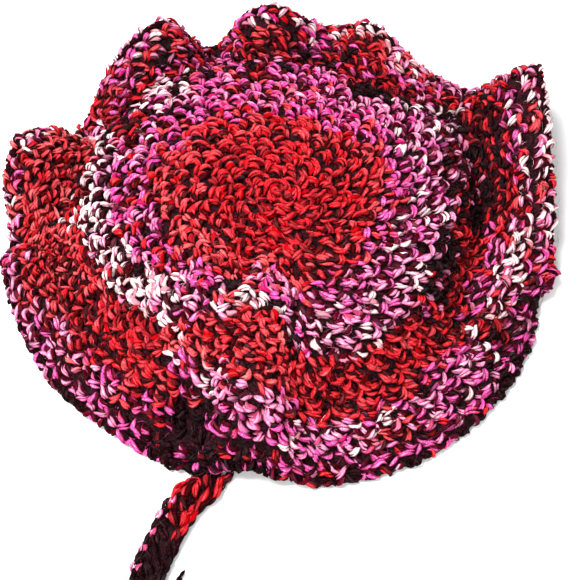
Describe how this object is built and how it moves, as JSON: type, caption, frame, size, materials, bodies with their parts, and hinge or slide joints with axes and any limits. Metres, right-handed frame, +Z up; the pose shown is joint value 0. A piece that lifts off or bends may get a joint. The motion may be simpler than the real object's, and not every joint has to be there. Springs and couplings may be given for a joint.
{
  "type": "crochet bonnet",
  "caption": "Thick crocheted bonnet with a round flattened crown, a ruffled wavy brim with a beaded edge, and one crocheted tie at the rim.",
  "frame": {"origin": "middle of the bonnet's outline on the surface it lies on, without the tie", "axes": "+Z up through the crown, -Y towards the smooth front of the brim where the tie leaves, +X to the brim's tallest raised corner"},
  "size_m": [0.27, 0.3596, 0.0511],
  "materials": {
    "variegated_yarn": "soft matt wool-like yarn in runs of red, coral, magenta, pale pink and white, worked together with a black strand",
    "black_yarn": "matt brown-black yarn with a fine halo of fibres"
  },
  "bodies": {
    "root": {"crown": "variegated_yarn", "brim": "variegated_yarn", "rim_edging": "variegated_yarn", "chin_tie": "variegated_yarn", "tie_tail": "black_yarn"}
  },
  "joints": []
}
